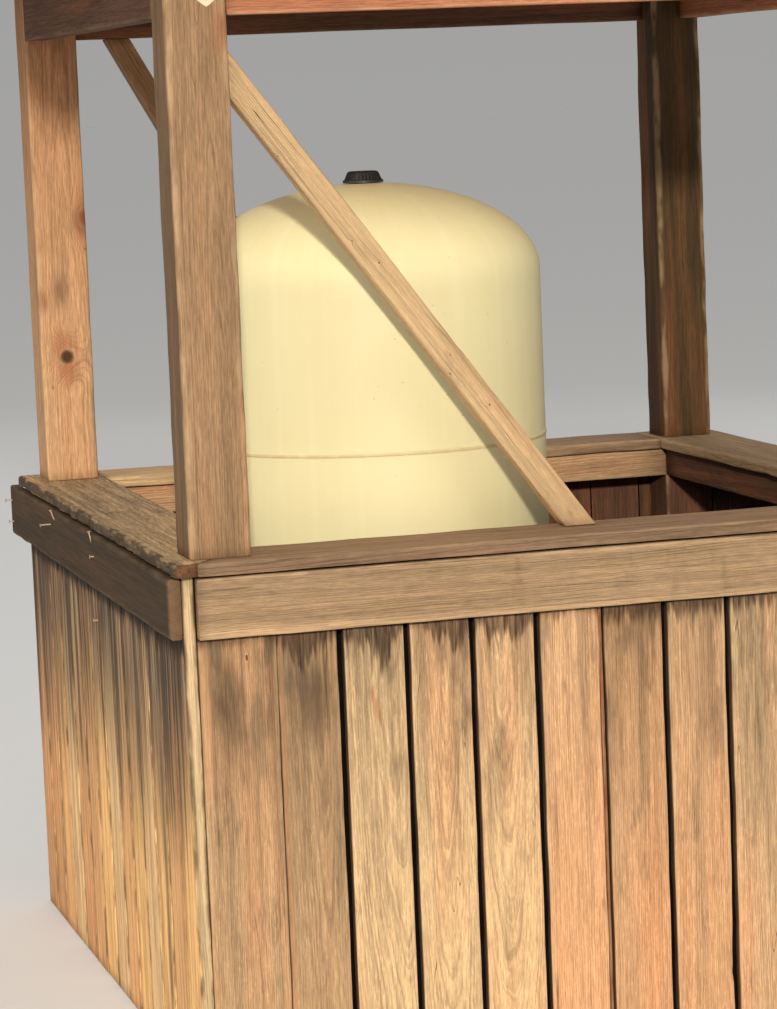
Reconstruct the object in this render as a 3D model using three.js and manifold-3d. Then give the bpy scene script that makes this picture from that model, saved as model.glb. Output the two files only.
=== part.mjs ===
// A timber tank shelter: a boarded box with cap boards, four posts on top that carry
// beams and a plank roof, and a steel pressure tank that stands in the box.
// Millimetres, +Z up, front towards -Y, origin on the ground at the plan centre.

import * as THREE from 'three';
import { mergeVertices } from 'three/addons/utils/BufferGeometryUtils.js';
import Module from 'manifold-3d';

// Plan and levels
const FRAME = 1219;                  // outer faces of opposite posts
const POST = 89;
const CAP_TOP = 760;
const BAY_H = 750;                   // cap top to beam bottom

// Timber sections
const BOARD_T = 19;
const BOARD_W = 89;
const CAP_W = 140;
const CAP_RECESS = 6;                // the side caps stop short of the fascia's face
const BEAM_H = 89;
const BEAM_T = 38;
const RAIL_H = 50;                   // the rails lie flat, as deep as the posts
const RAIL_LIFT = 60;                // ground to the bottom rail
const LAP = 1;                       // how far a rail reaches into the boards it is fused with

// Front boards
const FIRST_BOARD_W = 113;
const BOARD_GAP = 8.2;
const SPACED_BOARDS = 10;            // after the tight first two; the last fills up to the corner

// Roof
const ROOF_OVER_X = 230;
const ROOF_OVER_Y = 160;
const RAFTER_T = 38;
const RAFTER_H = 89;
const INNER_RAFTER_X = 203;
const DECK_BOARDS = 16;
const DECK_GROOVE = 3;

// Braces
const FRONT_BRACE_SLOPE = 1.357;
const FRONT_BRACE_TOP = 718;         // upper edge at the post, above the cap
const FRONT_BRACE_RISE = 66;         // upright cut at the post
const BACK_BRACE_SLOPE = 1.804;
const BACK_BRACE_FROM_POST = 60;
const BACK_BRACE_CUT = 43;           // level cut under the beam
const BRACE_T = 38;

// Tank
const TANK_X = -222;
const TANK_Y = -190;
const TANK_R = 265;
const TANK_WALL = 5;
const TANK_TOP = CAP_TOP + 502;
const HEAD_H = 138;
const TANK_SEAM = CAP_TOP + 112;
const TANK_FOOT = 38;                // ground to the lowest point of the bottom head
const SEAM_BAND_H = 10;
const SEAM_BAND_T = 1.4;
const BASE_RING_R = 210;
const BASE_RING_T = 5;
const VALVE_R = 31;
const VALVE_TOP_R = 19.5;
const VALVE_H = 18;
const ROUND_SEGMENTS = 72;
const HEAD_STEPS = 14;
const SEAT = 0.3;                    // clearance where a curved or mitred piece meets another

// Worked out from the above
const OUT = FRAME / 2;
const IN = OUT - POST;
const SKIN = OUT + BOARD_T;
const EDGE = SKIN + BOARD_T;
const CAP_IN = EDGE - CAP_W;
const CAP_BOTTOM = CAP_TOP - BOARD_T;
const BEAM_BOTTOM = CAP_TOP + BAY_H;
const BEAM_TOP = BEAM_BOTTOM + BEAM_H;
const DECK_BOTTOM = BEAM_TOP + RAFTER_H;
const DECK_TOP = DECK_BOTTOM + BOARD_T;
const LEFT_FASCIA_BACK = EDGE + 55;  // the left fascia runs on past the corner

const wasm = await Module();
wasm.setup();

const root = new THREE.Group();
root.name = 'tank_shelter';

function paint(name, hex, roughness, metalness) {
  const material = new THREE.MeshStandardMaterial({ color: hex, roughness, metalness });
  material.name = name;
  return material;
}

const wallWood = () => paint('wall_wood', 0xb0764a, 0.85, 0);
const trimWood = () => paint('trim_wood', 0x8d8272, 0.9, 0);
const frameWood = () => paint('frame_wood', 0x9c5a35, 0.8, 0);
const braceWood = () => paint('brace_wood', 0xc69a68, 0.8, 0);
const roofWood = () => paint('roof_wood', 0x8a7560, 0.9, 0);
const tankPaint = () => paint('tank_paint', 0xe3d8bd, 0.45, 0.1);
const blackPlastic = () => paint('black_plastic', 0x1b1b1c, 0.6, 0);
const basePaint = () => paint('base_paint', 0x2c2c2e, 0.6, 0.2);

function addPart(name, geometry, material) {
  const mesh = new THREE.Mesh(geometry, material);
  mesh.name = name;
  root.add(mesh);
}

// A square-cut timber between two opposite corners.
function block(x0, y0, z0, x1, y1, z1) {
  const geometry = new THREE.BoxGeometry(x1 - x0, y1 - y0, z1 - z0);
  geometry.translate((x0 + x1) / 2, (y0 + y1) / 2, (z0 + z1) / 2);
  return geometry;
}

// A flat piece with a plan outline of [x, y] points, between two heights.
function plank(points, z0, z1) {
  const shape = new THREE.Shape(points.map(([x, y]) => new THREE.Vector2(x, y)));
  const geometry = new THREE.ExtrudeGeometry(shape, { depth: z1 - z0, bevelEnabled: false });
  geometry.translate(0, 0, z0);
  return geometry;
}

// A sloping timber with a front outline of [x, z] points, between two depths.
function braceSolid(points, y0, y1) {
  const shape = new THREE.Shape(points.map(([x, z]) => new THREE.Vector2(x, z)));
  const geometry = new THREE.ExtrudeGeometry(shape, { depth: y1 - y0, bevelEnabled: false });
  geometry.rotateX(Math.PI / 2);
  geometry.translate(0, y1, 0);
  return geometry;
}

// Several overlapping solids as one closed solid.
function fuse(geometries) {
  let whole = null;
  for (const geometry of geometries) {
    const bare = geometry.clone();
    bare.deleteAttribute('normal');
    bare.deleteAttribute('uv');
    const merged = mergeVertices(bare);
    const mesh = new wasm.Mesh({
      numProp: 3,
      vertProperties: new Float32Array(merged.attributes.position.array),
      triVerts: new Uint32Array(merged.index.array),
    });
    const solid = new wasm.Manifold(mesh);
    whole = whole ? whole.add(solid) : solid;
  }
  const out = whole.getMesh();
  const geometry = new THREE.BufferGeometry();
  geometry.setAttribute('position', new THREE.BufferAttribute(new Float32Array(out.vertProperties), 3));
  geometry.setIndex(new THREE.BufferAttribute(new Uint32Array(out.triVerts), 1));
  geometry.computeVertexNormals();
  return geometry;
}

// A solid of revolution about the tank's axis from a closed list of [radius, height] points.
function turned(profile) {
  const points = profile.map(([r, z]) => new THREE.Vector2(r, z));
  points.push(points[0].clone());
  const geometry = new THREE.LatheGeometry(points, ROUND_SEGMENTS);
  geometry.rotateX(Math.PI / 2);
  geometry.translate(TANK_X, TANK_Y, 0);
  return geometry;
}

// Corner posts, in the box and above the cap.
function addPosts() {
  const corners = [
    ['front_left', -1, -1],
    ['front_right', 1, -1],
    ['back_left', -1, 1],
    ['back_right', 1, 1],
  ];
  for (const [where, sx, sy] of corners) {
    const x0 = sx < 0 ? -OUT : IN;
    const y0 = sy < 0 ? -OUT : IN;
    addPart(`lower_post_${where}`, block(x0, y0, 0, x0 + POST, y0 + POST, CAP_BOTTOM), frameWood());
    addPart(`upper_post_${where}`, block(x0, y0, CAP_TOP, x0 + POST, y0 + POST, BEAM_TOP), frameWood());
  }
}

// Upright boards with gaps, nailed on two rails that lie between the posts.
function spacedWall() {
  const pieces = [];
  for (const z of [RAIL_LIFT, CAP_BOTTOM - RAIL_H]) {
    pieces.push(block(-IN, -OUT - LAP, z, IN, -IN, z + RAIL_H));
  }
  const pairRight = FIRST_BOARD_W + BOARD_W - OUT;
  pieces.push(block(-OUT, -SKIN, 0, pairRight, -OUT, CAP_BOTTOM));
  let left = pairRight + BOARD_GAP;
  for (let i = 0; i < SPACED_BOARDS; i += 1) {
    const right = i < SPACED_BOARDS - 1 ? left + BOARD_W : OUT;
    pieces.push(block(left, -SKIN, 0, right, -OUT, CAP_BOTTOM));
    left = right + BOARD_GAP;
  }
  return fuse(pieces);
}

// Tight upright boards on two rails, with the boards' edges covering the corner.
function tightWall() {
  const pieces = [block(-SKIN, -SKIN, 0, -OUT, SKIN, CAP_BOTTOM)];
  for (const z of [RAIL_LIFT, CAP_BOTTOM - RAIL_H]) {
    pieces.push(block(-OUT - LAP, -IN, z, -IN, IN, z + RAIL_H));
  }
  return fuse(pieces);
}

function addWalls() {
  addPart('front_wall', spacedWall(), wallWood());
  addPart('back_wall', spacedWall().rotateZ(Math.PI), wallWood());
  addPart('left_wall', tightWall(), wallWood());
  addPart('right_wall', tightWall().rotateZ(Math.PI), wallWood());
}

// Boards on edge around the top of the walls, under the cap.
function addFascias() {
  const z0 = CAP_BOTTOM - BOARD_W;
  addPart('front_fascia', block(-OUT, -EDGE, z0, OUT, -SKIN, CAP_BOTTOM), trimWood());
  addPart('back_fascia', block(-OUT, SKIN, z0, OUT, EDGE, CAP_BOTTOM), trimWood());
  addPart('left_fascia', block(-EDGE, -SKIN, z0, -SKIN, LEFT_FASCIA_BACK, CAP_BOTTOM), trimWood());
  addPart('right_fascia', block(SKIN, -SKIN, z0, EDGE, SKIN, CAP_BOTTOM), trimWood());
}

// Flat boards on top of the walls: the front one is mitred into the two sides.
function addCaps() {
  const front = [
    [-OUT + SEAT, -EDGE],
    [OUT - SEAT, -EDGE],
    [CAP_IN - SEAT, -CAP_IN],
    [-CAP_IN + SEAT, -CAP_IN],
  ];
  const side = EDGE - CAP_RECESS;
  const left = [
    [-side, -EDGE],
    [-OUT, -EDGE],
    [-CAP_IN, -CAP_IN],
    [-CAP_IN, EDGE],
    [-side, EDGE],
  ];
  const right = left.map(([x, y]) => [-x, y]).reverse();
  addPart('front_cap', plank(front, CAP_BOTTOM, CAP_TOP), trimWood());
  addPart('left_cap', plank(left, CAP_BOTTOM, CAP_TOP), trimWood());
  addPart('right_cap', plank(right, CAP_BOTTOM, CAP_TOP), trimWood());
  addPart('back_cap', block(-CAP_IN, CAP_IN, CAP_BOTTOM, CAP_IN, EDGE, CAP_TOP), trimWood());
}

// Beams on edge between the tops of the posts.
function addBeams() {
  const [z0, z1] = [BEAM_BOTTOM, BEAM_TOP];
  addPart('front_beam', block(-IN, -OUT, z0, IN, BEAM_T - OUT, z1), frameWood());
  addPart('back_beam', block(-IN, OUT - BEAM_T, z0, IN, OUT, z1), frameWood());
  addPart('left_beam', block(-OUT, -IN, z0, BEAM_T - OUT, IN, z1), frameWood());
  addPart('right_beam', block(OUT - BEAM_T, -IN, z0, OUT, IN, z1), frameWood());
}

// One brace in the front bay against the left post, flush with the posts' inner faces,
// and one in the back bay under the beam, flush with their outer faces.
function addBraces() {
  const topHigh = CAP_TOP + FRONT_BRACE_TOP;
  const topLow = topHigh - FRONT_BRACE_RISE;
  const front = [
    [-IN, topLow],
    [(topLow - CAP_TOP) / FRONT_BRACE_SLOPE - IN, CAP_TOP],
    [(topHigh - CAP_TOP) / FRONT_BRACE_SLOPE - IN, CAP_TOP],
    [-IN, topHigh],
  ];
  addPart('front_brace', braceSolid(front, -IN - BRACE_T, -IN), braceWood());
  const headX = BACK_BRACE_FROM_POST - IN;
  const footX = headX + BAY_H / BACK_BRACE_SLOPE;
  const back = [
    [headX, BEAM_BOTTOM],
    [footX, CAP_TOP],
    [footX + BACK_BRACE_CUT, CAP_TOP],
    [headX + BACK_BRACE_CUT, BEAM_BOTTOM],
  ];
  addPart('back_brace', braceSolid(back, OUT - BRACE_T, OUT), frameWood());
}

// Rafters on the beams from front to back, with planks across them.
function addRoof() {
  const reach = OUT + ROOF_OVER_Y;
  const rafters = [
    ['rafter_left_outer', -OUT],
    ['rafter_left_inner', -INNER_RAFTER_X - RAFTER_T / 2],
    ['rafter_right_inner', INNER_RAFTER_X - RAFTER_T / 2],
    ['rafter_right_outer', OUT - RAFTER_T],
  ];
  for (const [name, x] of rafters) {
    addPart(name, block(x, -reach, BEAM_TOP, x + RAFTER_T, reach, DECK_BOTTOM), frameWood());
  }
  const side = OUT + ROOF_OVER_X;
  const pitch = 2 * reach / DECK_BOARDS;
  const pieces = [block(-side, -reach, DECK_BOTTOM, side, reach, DECK_TOP - DECK_GROOVE)];
  for (let i = 0; i < DECK_BOARDS; i += 1) {
    const y = pitch * i - reach;
    const y0 = i > 0 ? y + DECK_GROOVE / 2 : y;
    const y1 = i < DECK_BOARDS - 1 ? y + pitch - DECK_GROOVE / 2 : y + pitch;
    pieces.push(block(-side, y0, DECK_BOTTOM, side, y1, DECK_TOP));
  }
  addPart('roof_deck', fuse(pieces), roofWood());
}

// Quarter of an ellipse from the rim to the axis, as [radius, height above the rim].
function headArc(radius, height) {
  const arc = [];
  for (let i = 0; i <= HEAD_STEPS; i += 1) {
    const angle = Math.PI / 2 * i / HEAD_STEPS;
    arc.push([i < HEAD_STEPS ? radius * Math.cos(angle) : 0, height * Math.sin(angle)]);
  }
  return arc;
}

// A dished end of the tank: sign 1 bulges up from the rim, -1 bulges down.
function dishedEnd(rim, sign) {
  const outer = headArc(TANK_R, HEAD_H);
  const inner = headArc(TANK_R - TANK_WALL, HEAD_H - TANK_WALL).reverse();
  const profile = outer.concat(inner).map(([r, z]) => [r, rim + sign * z]);
  return turned(sign > 0 ? profile : profile.reverse());
}

function addTank() {
  const bottomRim = TANK_FOOT + HEAD_H;
  const topRim = TANK_TOP - HEAD_H;
  const inside = TANK_R - TANK_WALL;
  const tube = (z0, z1) => turned([[inside, z0], [TANK_R, z0], [TANK_R, z1], [inside, z1]]);
  addPart('tank_bottom', dishedEnd(bottomRim, -1), tankPaint());
  addPart('tank_lower_shell', tube(bottomRim, TANK_SEAM), tankPaint());
  addPart('tank_upper_shell', tube(TANK_SEAM, topRim), tankPaint());
  addPart('tank_dome', dishedEnd(topRim, 1), tankPaint());
  const bandIn = TANK_R + SEAT;
  const bandOut = TANK_R + SEAM_BAND_T;
  const bandLow = TANK_SEAM - SEAM_BAND_H / 2;
  const bandHigh = TANK_SEAM + SEAM_BAND_H / 2;
  const band = [[bandIn, bandLow], [bandOut, bandLow], [bandOut, bandHigh], [bandIn, bandHigh]];
  addPart('tank_seam_band', turned(band), tankPaint());
  const ringIn = BASE_RING_R - BASE_RING_T;
  const underHead = Math.sqrt(1 - (ringIn / TANK_R) ** 2) * HEAD_H;
  const ringTop = bottomRim - underHead - SEAT;
  const ring = [[ringIn, 0], [BASE_RING_R, 0], [BASE_RING_R, ringTop], [ringIn, ringTop]];
  addPart('tank_base_ring', turned(ring), basePaint());
  const valveLow = TANK_TOP + SEAT;
  const valveHigh = valveLow + VALVE_H;
  const valve = [[0, valveLow], [VALVE_R, valveLow], [VALVE_TOP_R, valveHigh], [0, valveHigh]];
  addPart('tank_valve_cap', turned(valve), blackPlastic());
}

addPosts();
addWalls();
addFascias();
addCaps();
addBeams();
addBraces();
addRoof();
addTank();

export default root;
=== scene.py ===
"""Looks of the timber tank shelter: weathered boards, posts and roof around a cream steel tank.

Every timber is a lofted bar with eased, worn corners. It carries its own grain coordinates, tone
and soiling as vertex attributes, which one procedural wood shader reads. Metres, +Z up."""

import math
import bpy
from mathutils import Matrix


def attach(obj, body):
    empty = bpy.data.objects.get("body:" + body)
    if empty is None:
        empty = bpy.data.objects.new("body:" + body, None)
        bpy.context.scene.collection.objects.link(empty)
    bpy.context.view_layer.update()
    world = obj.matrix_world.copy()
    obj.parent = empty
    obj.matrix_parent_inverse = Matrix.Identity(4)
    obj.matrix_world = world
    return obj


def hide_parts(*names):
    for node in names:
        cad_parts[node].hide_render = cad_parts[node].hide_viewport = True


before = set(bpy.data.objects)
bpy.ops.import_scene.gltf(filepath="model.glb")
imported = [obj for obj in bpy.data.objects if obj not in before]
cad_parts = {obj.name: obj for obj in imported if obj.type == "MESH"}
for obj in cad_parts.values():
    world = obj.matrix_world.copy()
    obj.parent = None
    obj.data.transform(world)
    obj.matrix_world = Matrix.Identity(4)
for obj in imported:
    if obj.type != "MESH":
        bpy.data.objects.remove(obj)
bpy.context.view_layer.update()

from types import SimpleNamespace

import bmesh
import bpy
import numpy as np
from mathutils import Matrix

scene = bpy.context.scene

# Levels and plan
OUT = 0.6095
IN = 0.5205
SKIN = 0.6285
EDGE = 0.6475
CAP_IN = 0.5075
CAP_SIDE = 0.6415
CAP_BOTTOM = 0.741
CAP_TOP = 0.760
FASCIA_BOTTOM = 0.652
FASCIA_TOP = CAP_BOTTOM - 0.0022
FASCIA_BACK = 0.7025
BEAM_BOTTOM = 1.510
BEAM_TOP = 1.599
BEAM_T = 0.038
POST_W = 0.089
RAIL = 0.050
RAIL_LIFT = 0.060
PLAY = 0.0003

# Front boards, the lath in one of their gaps and the paper behind them
BOARD = 0.089
GAP = 0.0082
FIRST_BOARD = 0.113
EVEN_BOARDS = 10
TIGHT_BOARD = 1
TIGHT = 0.0002
LATH_GAP = 6
LATH_HALF = 0.0029
LATH_OUT = 0.013
LINER = 0.001
SLIT = 0.0025
PAPER_SPAN = (0.004, CAP_BOTTOM - 0.001)
PAPER = dict(shift=0.0001, round_by=0.0002, step=0.04)

# Joints of the side boards and the tongues in them
JOINT = (0.0008, 0.0035)
JOINT_CUT = 0.0005
TONGUE = 0.003
TONGUE_DEPTH = (-OUT - 0.009, -OUT - 0.004)
TONGUE_SPAN = (0.002, CAP_BOTTOM - 0.001)

# Braces
FRONT_SLOPE = 1.357
FRONT_HIGH = 1.478
FRONT_LOW = 1.412
BACK_SLOPE = 1.804
BACK_HEAD = -0.4605
BACK_CUT = 0.043
BRACE_T = 0.038
BRACE_FACE = -0.5585

# Roof
DECK_BOTTOM = 1.688
DECK_TOP = 1.707
ROOF_X = 0.8395
ROOF_Y = 0.7695
RAFTERS = {"left_outer": -OUT, "left_inner": -0.222, "right_inner": 0.184, "right_outer": 0.5715}
PLANKS = 16
GROOVE = 0.0015

# Tank
TANK_X = -0.222
TANK_Y = -0.190
TANK_R = 0.265
TANK_TOP = 1.262
TANK_FOOT = 0.038
TANK_WALL = 0.005
HEAD_H = 0.138
HEAD_STEPS = 40
SHELL_STEPS = 12
SEAM = 0.872
BEAD_STEPS = 8
BEAD_HALF = 0.0028
BEAD_OUT = 0.0009
BEAD_IN = 0.001
RING_IN = 0.205
RING_OUT = 0.21
RING_EASE = 0.0015
VALVE_RIBS = 32
RIB_DEPTH = 0.0008
TURN_STEPS = 160
WELD = 5e-5

# Nails, and the plate on the front left post
NAIL_R = 0.0012
NAIL_DEEP = 0.012
PLATE_X = -0.5495
PLATE_OUT = 0.0009
PLATE_IN = 0.0012
PLATE_NAIL_Z = 1.5335
PLATE_OUTLINE = ((0, 1.522), (0.0062, 1.5262), (0.0125, 1.5315), (0.0125, 1.568), (0.009, 1.572),
                 (-0.009, 1.572), (-0.0125, 1.568), (-0.0125, 1.5315), (-0.0062, 1.5262))

# Lofting
ARC_STEPS = 2
RING_STEP = 0.016
COARSE = 0.05
EDGE_STRIP = 0.0045
LOW_STRIP = 0.12
EASE = 0.0014
FOOT_H = 0.014
CRISP = 50

# Sky: (height, strength), camera and floor
SKY = ((0.0, 0.37), (0.1, 0.34), (0.28, 0.20), (0.55, 0.32), (1.0, 0.75))
CAMERA_AT = (-1.5649, -5.0701, 1.3802)
CAMERA_TURN = (15.594, -6.919, -2.384)
FOCAL_PX = 3300.78
FRAME_PX = 777
SENSOR = 36.0
FLOOR_SIZE = 400.0


def srgb(r, g, b):
    """An 8-bit display colour as a linear one."""
    return tuple(((c / 255 + 0.055) / 1.055) ** 2.4 if c > 10 else c / 255 / 12.92 for c in (r, g, b))


STRAW = srgb(210, 175, 130)
TAN = srgb(196, 158, 118)
PINK = srgb(214, 161, 116)
HONEY = srgb(198, 152, 110)
HAZEL = srgb(178, 144, 106)
TAWNY = srgb(138, 110, 84)
UMBER = srgb(150, 116, 82)
DRAB = srgb(168, 141, 106)
AMBER = srgb(250, 198, 130)
GLOW = srgb(240, 184, 124)
WHEAT = srgb(244, 200, 144)
CLAY = srgb(230, 172, 116)
RUSSET = srgb(150, 92, 60)
POST = srgb(144, 113, 82)
ORANGE = srgb(188, 143, 103)
MAROON = srgb(70, 51, 28)
PEACH = srgb(204, 160, 118)
RUST = srgb(160, 114, 78)
ROSY = srgb(196, 130, 94)
COPPER = srgb(174, 112, 80)
BLUSH = srgb(158, 88, 56)
SAND = srgb(188, 157, 116)
SLATE = srgb(68, 51, 32)
SPLINTER = srgb(194, 166, 126)
# Dark brown that stands in for wood in shade
PAINTED_SHADE_BROWN = srgb(92, 62, 44)
SOOT = srgb(84, 68, 52)
LICHEN = srgb(176, 148, 110)
BARK = srgb(152, 124, 93)
SHADE = srgb(186, 152, 116)
WARM = srgb(196, 118, 74)
MILDEW = srgb(74, 60, 44)
DARK_THREAD = srgb(56, 42, 30)
PALE_THREAD = srgb(200, 174, 140)
SMEAR = srgb(78, 66, 52)
DAMP = srgb(50, 32, 21)
# Colour of the painted shadow right under the fascias
FASCIA_SHADOW_PAINTED = srgb(40, 30, 22)
CRACK = srgb(74, 50, 34)
KNOT = srgb(76, 48, 30)
RESIN = srgb(172, 104, 72)


def tall(by):
    """Stretch of a mark that is by times as high as it is wide."""
    return (1.0, 1.0, by)


ROUND = tall(1.0)
UPRIGHT = tall(1.8)

# Knots: (x, y, z, radius, stretch, colour)
KNOTS_BRACE = [(x, BRACE_FACE, z, r, ROUND, KNOT) for x, z, r in (
    (-0.446, 1.313, 0.0022), (-0.343, 1.19, 0.0016), (-0.305, 1.157, 0.0018),
    (-0.205, 1.02, 0.0014), (-0.206, 0.993, 0.0015), (-0.149, 0.945, 0.0019))]
KNOTS_FRAME = (
    (-0.5655, IN, 0.972, 0.0125, ROUND, KNOT), (-0.5235, IN, 1.208, 0.009, UPRIGHT, BLUSH),
    (-0.5245, IN, 1.155, 0.002, ROUND, KNOT), (-0.593, IN, 0.921, 0.0015, ROUND, KNOT),
)
KNOTS_WALL = (
    (-0.54, -SKIN, 0.620, 0.0022, tall(2.6), KNOT), (0.21, SKIN, 0.41, 0.011, ROUND, KNOT),
)

# Soft stains: (place, radius, stretch, colour, strength)
BLOTS_FRAME = (
    ((-0.5716, IN, 1.087), 0.024, UPRIGHT, srgb(88, 68, 50), 0.6),
    ((-0.605, IN, 1.068), 0.016, UPRIGHT, srgb(128, 78, 50), 0.6),
    ((-0.527, IN, 1.205), 0.022, UPRIGHT, srgb(112, 64, 42), 0.75),
    ((-0.563, IN, 0.944), 0.022, UPRIGHT, srgb(164, 98, 68), 0.55),
    ((-0.575, IN, 0.994), 0.018, UPRIGHT, srgb(164, 98, 68), 0.45),
    ((-0.5655, IN, 0.972), 0.016, ROUND, srgb(66, 44, 28), 0.95),
    ((-0.53, -OUT, 1.49), 0.02, tall(2.5), srgb(140, 80, 52), 0.45),
)
BLOTS_WALL = (
    ((-0.57, -SKIN, 0.553), 0.034, tall(2.4), MILDEW, 0.85),
    ((-0.445, -SKIN, 0.546), 0.034, tall(2.4), srgb(80, 62, 44), 0.8),
    ((-0.378, -SKIN, 0.41), 0.009, tall(5.0), srgb(140, 120, 90), 0.5),
    ((-0.36, -SKIN, 0.551), 0.0036, tall(4.5), BLUSH, 0.6),
    ((-0.3545, -SKIN, 0.533), 0.0064, tall(3.4), BLUSH, 0.6),
    ((-0.35, -SKIN, 0.518), 0.004, tall(4.5), BLUSH, 0.6),
    ((-0.492, -SKIN, 0.37), 0.0055, tall(200.0), srgb(158, 108, 74), 0.55),
    ((-0.601, -SKIN, 0.56), 0.011, tall(20.0), PINK, 0.4),
)
BLOTS_SIDE = (
    ((-SKIN, -0.535, 0.3), 0.01, tall(26.0), RESIN, 0.6),
    ((-SKIN, -0.423, 0.22), 0.016, tall(26.0), srgb(100, 80, 62), 0.85),
    ((-SKIN, -0.449, 0.56), 0.03, tall(6.0), srgb(92, 74, 56), 0.6),
    ((-SKIN, 0.03, 0.56), 0.04, tall(4.0), srgb(104, 80, 58), 0.5),
)
BLOTS_TRIM = (((-0.566, -EDGE, 0.7215), 0.0016, (30.0, 1.0, 1.0), SOOT, 0.95),)
BLOTS_BRACE = (((-0.028, BRACE_FACE, 0.832), 0.013, tall(1.4), srgb(120, 102, 80), 0.55),)

# Tones of the front boards from left to right: (low end, top end, how far stains run)
FRONT_TONES = (
    (HAZEL, UMBER, 0.3), (HAZEL, UMBER, (0.6, 1.2, 1.3, 0.8, 0.6)),
    (STRAW, DRAB, (0.4, 1.3, 1.6, 1.3, 0.4)), (STRAW, TAN, (0.2, 0.6, 1.2, 1.2, 0.5)),
    (STRAW, TAN, (0.8, 1.1, 0.9, 1.1, 0.6)), (PINK, TAN, (0.3, 0.6, 0.1, 0.2, 0.6)),
    (HONEY, UMBER, 0.7), (HONEY, TAN, 0.7), (TAN, DRAB, 0.8), (STRAW, DRAB, 0.6), (HONEY, UMBER, 0.7),
    (TAN, DRAB, 0.7),
)

# What some front boards have: a flat-sawn figure, or an edge with two bites
FRONT_MARKS = {
    1: dict(pith=(0.01, 0.022), drift=0.03), 2: dict(pith=(0.03, 0.05), drift=0.03),
    3: dict(pith=(0.004, 0.032), drift=0.05), 4: dict(pith=(-0.012, 0.045), drift=0.05),
    7: dict(bites=((0.12, 0.05, 1, 0.007), (0.09, 0.02, 1, 0.010))),
    9: dict(pith=(0.01, 0.03), drift=0.04),
}

# Tones of the side boards from the front to the back: (low end, top end). The bright low ends are partly
# painted light, lighter than the wood itself.
SIDE_TONES = (
    (AMBER, TAWNY), (GLOW, SOOT), (AMBER, TAWNY), (WHEAT, DRAB), (AMBER, TAWNY), (GLOW, DRAB),
    (WHEAT, SOOT), (AMBER, TAN), (GLOW, UMBER), (CLAY, DRAB), (WHEAT, TAWNY), (GLOW, UMBER),
    (CLAY, TAWNY), (CLAY, TAWNY),
)

# Tones of the roof planks, drawn at random: (left end, right end)
ROOF_TONES = ((BARK, DRAB), (SHADE, DRAB), (TAN, BARK), (DRAB, SHADE))

# What a wood shader does where its call says nothing else
PLAIN_LOOK = dict(
    rings=310.0, late=0.16, fibre=0.1, stripe=0.09, fleck=0.1, lines=0.2, warmth=0.3, cracks=1.0,
    halo=0.4, mould=0.35, rub=0.4, rubbed=srgb(205, 172, 132), streaky=0.0, silver=0.0, smears=0.0,
    eaves=0.004, reach=0.55)


def in_the_open(points):
    """Distance below shelter where there is none."""
    return 9.0 + 0 * points[:, 2]


# What a timber is where its call says nothing else
PLAIN_BAR = dict(
    step=RING_STEP, round_by=0.0024, bites=(), ragged=0.0, shift=0.0004, wide=(0.25, 0.5, 0.75),
    strip=EDGE_STRIP, cup=0.0, pith=None, drift=None, turn=(0.0, 1.0), tone_power=1.0, sides={},
    low_strip=1.0, foot=1.0, ends=(0.72, 0.72), drop=in_the_open, stain=0.0, worn=1.0)


def wobble(rng, count, step):
    """Smooth random values from -1 to 1, with a new value every step items."""
    knots = max(2, int(count / step) + 2)
    values = rng.uniform(-1, 1, knots + 1)
    at = np.arange(count) / step
    low = np.clip(at.astype(int), 0, knots - 1)
    part = at - low
    part = part * part * (3 - 2 * part)
    return values[low] * (1 - part) + values[low + 1] * part


class Piece:
    """Gathers bars into one mesh object that stands for some CAD nodes."""

    def __init__(self, name, seed):
        self.name = name
        self.rng = np.random.default_rng(seed)
        self.points = []
        self.faces = []
        self.layers = {"grain": [], "tint": [], "soil": []}
        self.count = 0

    def add(self, points, faces, **layers):
        self.points.append(points)
        self.faces += [[i + self.count for i in face] for face in faces]
        self.count += len(points)
        for name, rows in layers.items():
            self.layers[name].append(rows.reshape(len(points), -1))

    def finish(self, material, slot, *nodes):
        mesh = bpy.data.meshes.new(self.name)
        mesh.from_pydata(np.concatenate(self.points).tolist(), [], self.faces)
        for name, rows in self.layers.items():
            kind = "color" if name == "tint" else "vector"
            layer = mesh.attributes.new(name, f"FLOAT_{kind.upper()}", "POINT")
            layer.data.foreach_set(kind, np.concatenate(rows).astype(np.float32).ravel())
        settle(mesh, material, nodes)


def put_in_scene(name, data):
    thing = bpy.data.objects.new(name, data)
    scene.collection.objects.link(thing)
    return thing


def settle(mesh, material, nodes=(), weld=0.0):
    """Turns a mesh into a smooth-shaded object that rides on the frame."""
    work = bmesh.new()
    work.from_mesh(mesh)
    if weld:
        bmesh.ops.remove_doubles(work, verts=work.verts, dist=weld)
    bmesh.ops.recalc_face_normals(work, faces=work.faces)
    work.to_mesh(mesh)
    work.free()
    mesh.shade_smooth()
    mesh.set_sharp_from_angle(angle=math.radians(CRISP))
    mesh.materials.append(material)
    thing = put_in_scene(mesh.name, mesh)
    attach(thing, "root")
    if nodes:
        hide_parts(*nodes)


def solid(name, points, faces, material, nodes=(), weld=0.0):
    mesh = bpy.data.meshes.new(name)
    mesh.from_pydata(np.array(points).tolist(), [], faces)
    settle(mesh, material, nodes, weld)


def quads_round(rows, wide, closed=False):
    """Quads between neighbouring rings of wide points. closed also joins the last to the first."""
    faces = []
    for i in range(rows if closed else rows - 1):
        k = (i + 1) % rows
        for j in range(wide):
            m = (j + 1) % wide
            faces.append([i * wide + j, i * wide + m, k * wide + m, k * wide + j])
    return faces


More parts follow.
